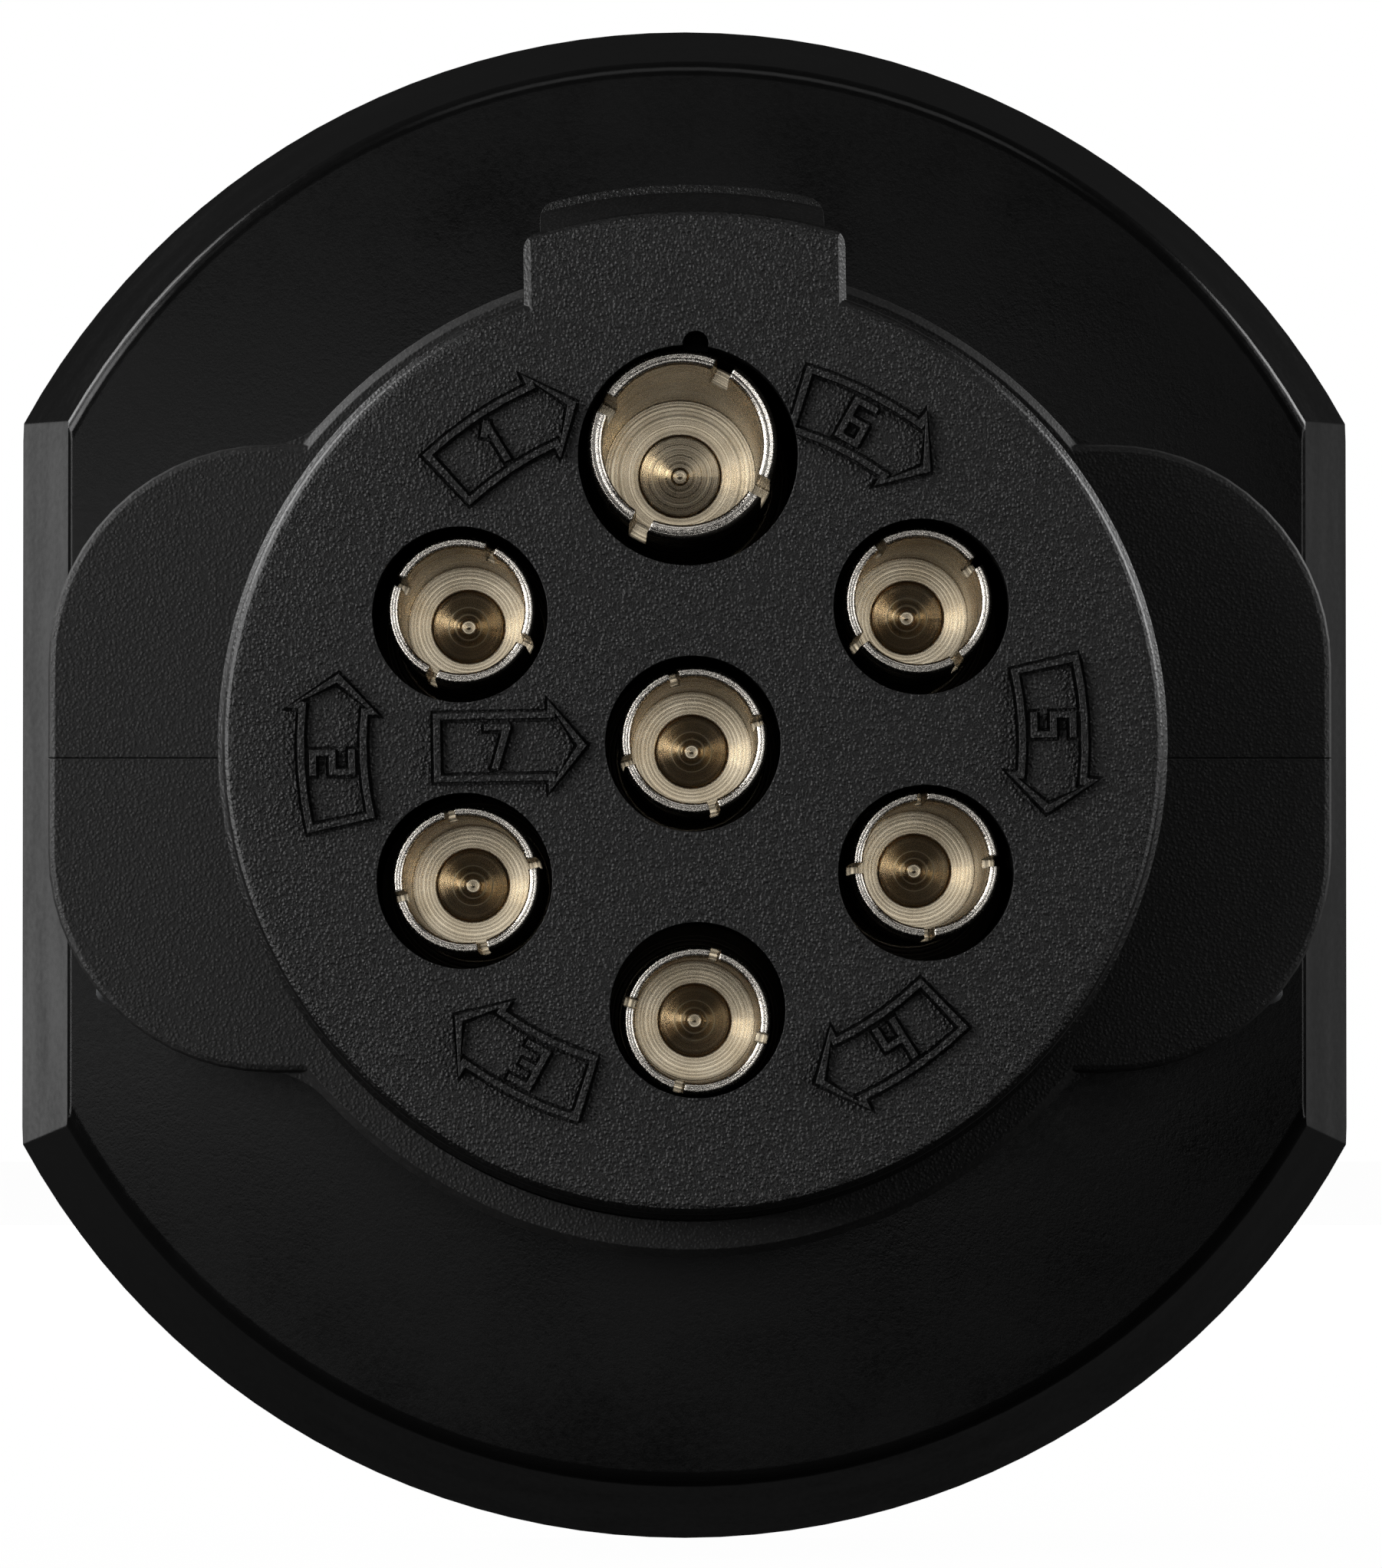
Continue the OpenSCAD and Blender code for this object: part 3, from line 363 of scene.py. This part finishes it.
def sweep(path, profile, sides):
    """Sweeps circles of the profile's radii along a path. A profile of one radius makes a wire with
    closed ends, and one of two radii, outside and bore, makes a tube."""
    verts, faces = [], []
    runs = [(path[min(i + 1, len(path) - 1)] - path[max(i - 1, 0)]).normalized() for i in range(len(path))]
    side = runs[0].orthogonal().normalized()
    for point, run in zip(path, runs):
        side = (side - run * side.dot(run)).normalized()
        up = run.cross(side)
        for radius in profile:
            for k in range(sides):
                turn = 2 * math.pi * k / sides
                verts.append(point + side * (radius * math.cos(turn)) + up * (radius * math.sin(turn)))
    ring = sides * len(profile)
    for layer in range(len(profile)):
        for i in range(len(path) - 1):
            for k in range(sides):
                a = i * ring + layer * sides + k
                b = i * ring + layer * sides + (k + 1) % sides
                quad = (a, b, b + ring, a + ring)
                faces.append(quad if layer == 0 else quad[::-1])
    last = (len(path) - 1) * ring
    if len(profile) == 1:
        faces.append(tuple(reversed(range(sides))))
        faces.append(tuple(range(last, last + sides)))
    else:
        for k in range(sides):
            n = (k + 1) % sides
            faces.append((n, k, sides + k, sides + n))
            faces.append((last + k, last + n, last + sides + n, last + sides + k))
    return verts, faces


def joined(parts):
    """Puts several (verts, faces) pairs together into one."""
    verts, faces = [], []
    for part_verts, part_faces in parts:
        start = len(verts)
        verts += part_verts
        faces += [tuple(start + i for i in face) for face in part_faces]
    return verts, faces


def lid_spring():
    """Smooth torsion spring: a close coil round the hinge pin, with one leg down the barrel's side
    and the other hooked over the lid's right arm."""
    coil_r, wire_r, turns, half = 2.35 * MM, 0.38 * MM, 7.36, 4.6 * MM
    leg, sides = 5 * MM, 14
    steps = round(turns * 40)

    def coil(t):
        angle = math.pi * (1 - 2 * turns * t)
        return hinge_at + Vector((half * (2 * t - 1), coil_r * math.cos(angle), coil_r * math.sin(angle)))

    winding = [coil(i / steps) for i in range(steps + 1)]
    over_arm = ((4.8, 4.1, -0.4), (8.6, 4.2, -0.42))    # the hook's bend and end, in mm from the hinge
    hook = [winding[-1]] + [hinge_at + Vector(p) * MM for p in over_arm]
    path = [winding[0] - Vector((0, 0, leg))] + winding + rounded(hook, 0.7 * MM)[1:]
    made = new_piece("lid_torsion_spring", *sweep(path, [wire_r], sides), spring_steel, None, "lid_spring")
    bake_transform(made)


def jumper_path(circuit, spare):
    """The way of one jumper wire from its contact's crimp to its blade's, with spare length inside each."""
    contact = "contact_" + circuit
    terminal = "centre_pin" if circuit == "blue" else "blade_" + circuit
    start, end = middle(contact), middle(terminal)
    gap = 0.3 * MM
    start.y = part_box(contact)[1].y + gap
    end.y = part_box(terminal)[0].y - gap
    steps = 16
    pull = Vector((0, (end.y - start.y) * 0.45, 0))
    path = []
    for i in range(steps + 1):
        t = i / steps
        path.append(start * (1 - t) ** 3 + (start + pull) * (3 * t * (1 - t) ** 2)
                    + (end - pull) * (3 * t * t * (1 - t)) + end * t ** 3)
    if spare:
        inside = Vector((0, spare, 0))
        ends = 4
        before = [start - inside * (1 - i / ends) for i in range(ends)]
        after = [end + inside * (i + 1) / ends for i in range(ends)]
        path = before + path + after
    return path


def strands(path, bundle_r):
    """Seven copper strands laid along a path, six of them twisted round the middle one."""
    strand_r = bundle_r / 3
    lay = 9 * MM
    parts = [sweep(path, [strand_r * 0.98], 8)]
    for n in range(6):
        way = []
        for i, point in enumerate(path):
            run = (path[min(i + 1, len(path) - 1)] - path[max(i - 1, 0)]).normalized()
            side = Vector((1, 0, 0)) - run * run.x
            side.normalize()
            turn = 2 * math.pi * (n / 6 + point.y / lay)
            way.append(point + (side * math.cos(turn) + run.cross(side) * math.sin(turn)) * strand_r * 1.98)
        parts.append(sweep(way, [strand_r * 0.98], 8))
    return parts


def jumpers():
    """Curved insulated wires with stranded copper cores that reach into the crimps at both ends."""
    wire_r, core_r = 1.68 * MM, 1.0 * MM
    cores = []
    for circuit in CIRCUITS:
        tube = sweep(jumper_path(circuit, 0), [wire_r, core_r + 0.04 * MM], 28)
        name = "jumper_" + circuit
        new_piece(name + "_insulation", *tube, wire_material[circuit], "plug", name)
        cores += strands(jumper_path(circuit, 2.6 * MM), core_r)
    new_piece("jumper_strands", *joined(cores), copper, "plug", "jumper_cores")


def pan_screw(shank_r, length, head_r, head_h):
    """A thread-forming pan-head screw along +Z: its head sits on z = 0, and its thread winds down to
    a blunt point. Returns verts and faces of the shank, and a head with a cross recess."""
    pitch, sides, per_turn = shank_r * 0.7, 28, 6
    root, ridge_h, point = 0.78, 0.21, 0.35    # shares of the shank's radius
    rings = round(length / pitch * per_turn)
    verts, faces = [], []
    for i in range(rings + 1):
        z = -length + length * i / rings
        taper = min(1.0, point + (z + length) / (shank_r * 2.2))
        thread = min(1.0, -z / pitch)
        for k in range(sides):
            phase = (z / pitch - k / sides) % 1.0
            ridge = 1 - abs(2 * phase - 1)
            radius = shank_r * taper * (root + ridge_h * ridge * ridge * thread)
            turn = 2 * math.pi * k / sides
            verts.append(Vector((radius * math.cos(turn), radius * math.sin(turn), z)))
    for i in range(rings):
        for k in range(sides):
            a, b = i * sides + k, i * sides + (k + 1) % sides
            faces.append((a, b, b + sides, a + sides))
    faces.append(tuple(reversed(range(sides))))
    faces.append(tuple(range(rings * sides, (rings + 1) * sides)))
    return (verts, faces), screw_head(head_r, head_h)


def screw_head(head_r, head_h):
    """Domed head on a polar grid whose top sinks into a tapered cross recess."""
    sides, rings = 96, 26
    arm_reach, arm_half, recess = head_r * 0.62, head_r * 0.15, head_h * 0.62
    rim = head_h * 0.62
    side_run, end_run = head_r * 0.05, head_r * 0.16    # how far the recess's walls slope
    verts, faces = [], []

    def top(x, y):
        r = math.hypot(x, y)
        height = rim + (head_h - rim) * math.sqrt(max(0.0, 1 - (r / head_r) ** 2))
        across = min(abs(x), abs(y))
        along = max(abs(x), abs(y))
        wall = min((arm_half - across) / side_run, (arm_reach - along) / end_run)
        return height - recess * min(1.0, max(0.0, wall))

    verts.append(Vector((0, 0, top(0, 0))))
    for i in range(1, rings + 1):
        r = head_r * i / rings
        for k in range(sides):
            turn = 2 * math.pi * k / sides
            x, y = r * math.cos(turn), r * math.sin(turn)
            verts.append(Vector((x, y, top(x, y))))
    for k in range(sides):
        faces.append((0, 1 + k, 1 + (k + 1) % sides))
    for i in range(rings - 1):
        for k in range(sides):
            a, b = 1 + i * sides + k, 1 + i * sides + (k + 1) % sides
            faces.append((a, a + sides, b + sides, b))
    edge = 1 + (rings - 1) * sides
    base = len(verts)
    for k in range(sides):
        turn = 2 * math.pi * k / sides
        verts.append(Vector((head_r * math.cos(turn), head_r * math.sin(turn), 0)))
    for k in range(sides):
        n = (k + 1) % sides
        faces.append((edge + k, base + k, base + n, edge + n))
    faces.append(tuple(base + k for k in reversed(range(sides))))
    return verts, faces


def screws(node, name, heads_at, shank_r, length, head_r, head_h, towards):
    """A set of equal screws whose heads face the same way and sit at the given points."""
    turn = Vector((0, 0, 1)).rotation_difference(Vector(towards)).to_matrix()
    parts = []
    for place in heads_at:
        for verts, faces in pan_screw(shank_r, length, head_r, head_h):
            parts.append(([turn @ v + place for v in verts], faces))
    new_piece(name, *joined(parts), zinc, "plug", node)


def islands(name):
    """The boxes of the separate solids in a CAD node, as (lowest, highest) corners."""
    mesh = bmesh.new()
    mesh.from_mesh(nodes[name].data)
    bmesh.ops.remove_doubles(mesh, verts=mesh.verts, dist=0.001 * MM)
    left, boxes = set(mesh.verts), []
    while left:
        group, edge = set(), [left.pop()]
        while edge:
            vert = edge.pop()
            group.add(vert)
            near = {e.other_vert(vert) for e in vert.link_edges} & left
            left -= near
            edge += near
        low = Vector([min(v.co[i] for v in group) for i in range(3)])
        high = Vector([max(v.co[i] for v in group) for i in range(3)])
        boxes.append((low, high))
    mesh.free()
    return sorted(boxes, key=lambda box: tuple(round(c, 5) for c in box[0]))


def screw_set(node, name, towards, shank_r, head_h):
    """Replaces a CAD node's plain screws by threaded ones of the same size and place."""
    axis = max(range(3), key=lambda i: abs(towards[i]))
    other = (axis + 1) % 3
    heads, length, head_r = [], 0, 0
    for low, high in islands(node):
        place = (low + high) / 2
        end, tip = (high, low) if towards[axis] > 0 else (low, high)
        place[axis] = end[axis] - towards[axis] * head_h
        length = abs(place[axis] - tip[axis])
        head_r = (high[other] - low[other]) / 2
        heads.append(place)
    screws(node, name, heads, shank_r, length, head_r, head_h, towards)


lid_spring()
jumpers()
BACK, FRONT, DOWN = (0, 1, 0), (0, -1, 0), (0, 0, -1)    # the ways that screw heads face
screw_set("retainer_screws", "retainer_screw_set", BACK, shank_r=0.95 * MM, head_h=1.3 * MM)
screw_set("shell_screws", "shell_screw_set", DOWN, shank_r=1.25 * MM, head_h=2 * MM)
screw_set("terminal_screws", "terminal_screw_set", FRONT, shank_r=0.95 * MM, head_h=1.2 * MM)
screw_set("socket_screws", "socket_screw_set", BACK, shank_r=1.25 * MM, head_h=1.8 * MM)


# ------------------------------------------------------------------ stage, light and camera

def floor():
    """A pale floor under the lowest point, which shows near white to the camera."""
    half = 1.6
    bpy.ops.mesh.primitive_plane_add(size=2 * half, location=(0, 0, cad_box[0].z))
    made = bpy.context.object
    made.name = "floor"
    m = Shader("floor_paint")
    tone = m.mix(m.noise(60 * MM, detail=2.0), grey(0.9), grey(0.86))
    matt = m.add("BsdfDiffuse", {"Color": tone, "Roughness": 0.5})
    glow = m.add("Emission", {"Color": grey(1.0), "Strength": 1.0})
    glow_share = 0.98
    seen = m.add("LightPath").outputs["Is Camera Ray"]
    share = m.math("MULTIPLY", seen, glow_share)
    both = m.add("MixShader", {0: share, 1: matt.outputs[0], 2: glow.outputs[0]})
    m.tree.links.new(both.outputs[0], m.add("OutputMaterial").inputs["Surface"])
    made.data.materials.append(m.material)
    made.visible_glossy = False
    made.visible_diffuse = False


def backdrop():
    """White to the camera, dim grey to everything else."""
    world = bpy.data.worlds.new("studio")
    bpy.context.scene.world = world
    world.use_nodes = True
    tree = world.node_tree
    tree.nodes.clear()
    seen = tree.nodes.new("ShaderNodeLightPath").outputs["Is Camera Ray"]
    white = tree.nodes.new("ShaderNodeBackground")
    white.inputs["Color"].default_value = grey(1.0)
    white.inputs["Strength"].default_value = 1.0
    dim = tree.nodes.new("ShaderNodeBackground")
    dim.inputs["Color"].default_value = grey(1.0)
    dim.inputs["Strength"].default_value = 0.012
    both = tree.nodes.new("ShaderNodeMixShader")
    tree.links.new(seen, both.inputs[0])
    tree.links.new(dim.outputs[0], both.inputs[1])
    tree.links.new(white.outputs[0], both.inputs[2])
    output = tree.nodes.new("ShaderNodeOutputWorld")
    tree.links.new(both.outputs[0], output.inputs["Surface"])


def softbox(name, place, aim, width, height, power):
    """A rectangular lamp at a place, turned towards aim, which the camera doesn't see."""
    light = bpy.data.lights.new(name, "AREA")
    light.shape = "RECTANGLE"
    light.size = width
    light.size_y = height
    light.energy = power
    made = bpy.data.objects.new(name, light)
    bpy.context.scene.collection.objects.link(made)
    made.location = place
    made.rotation_mode = "QUATERNION"
    made.rotation_quaternion = (Vector(aim) - Vector(place)).to_track_quat("-Z", "Y")
    made.visible_camera = False


def camera():
    """Looks at the nose face from just below and to the left of the plug's axis."""
    distance = 0.49
    aim = Vector((-0.09, 0.0, -1.9)) * MM
    place = Vector((-2.65 * MM, -distance, -13.0 * MM))
    seen_height = 73.8 * MM
    data = bpy.data.cameras.new("camera")
    data.sensor_width = 36.0
    data.lens = data.sensor_width * distance / seen_height
    data.clip_start = 0.01
    made = bpy.data.objects.new("camera", data)
    bpy.context.scene.collection.objects.link(made)
    made.location = place
    made.rotation_mode = "QUATERNION"
    made.rotation_quaternion = (aim - place).to_track_quat("-Z", "Y")
    bpy.context.scene.camera = made


floor()
backdrop()
# the large key and fill lights at both sides
softbox("left_box", (-0.5, -0.22, 0.1), (0, 0.03, 0), 0.3, 0.5, 3.6)
softbox("right_box", (0.55, -0.16, 0.06), (0, 0.03, 0), 0.2, 0.5, 1.2)
softbox("top_box", (0.05, -0.3, 0.55), (0, 0, 0), 0.5, 0.2, 0.3)
# small lights that the hood's two flats mirror
softbox("left_back", (-0.17, 0.5, 0.01), (0, 0.06, 0), 0.12, 0.09, 0.0058)
softbox("right_back", (0.17, 0.5, 0.01), (0, 0.05, 0), 0.1, 0.09, 0.0013)
# the sides and the back, seen only from other angles
softbox("rear_left", (-0.62, 0.28, 0.42), (0, 0.07, 0), 0.4, 0.4, 4.0)
softbox("rear_right", (0.66, 0.3, 0.3), (0, 0.07, 0), 0.4, 0.4, 4.0)
softbox("rear_box", (0, 0.95, 0.02), (0, 0, 0), 0.2, 0.2, 22)
# cards behind the camera that shine into the contacts
softbox("front_card", (-0.033, -0.62, 0.017), (0, 0, 0), 0.175, 0.085, 0.055)
softbox("front_left", (-0.2, -0.6, 0.017), (0, 0, 0), 0.1, 0.08, 0.2)
softbox("front_right", (0.19, -0.6, 0.017), (0, 0, 0), 0.1, 0.08, 0.02)
camera()
bpy.context.scene.view_settings.view_transform = "Standard"
bpy.context.scene.cycles.glossy_bounces = 12
bpy.context.scene.cycles.denoising_prefilter = "NONE"
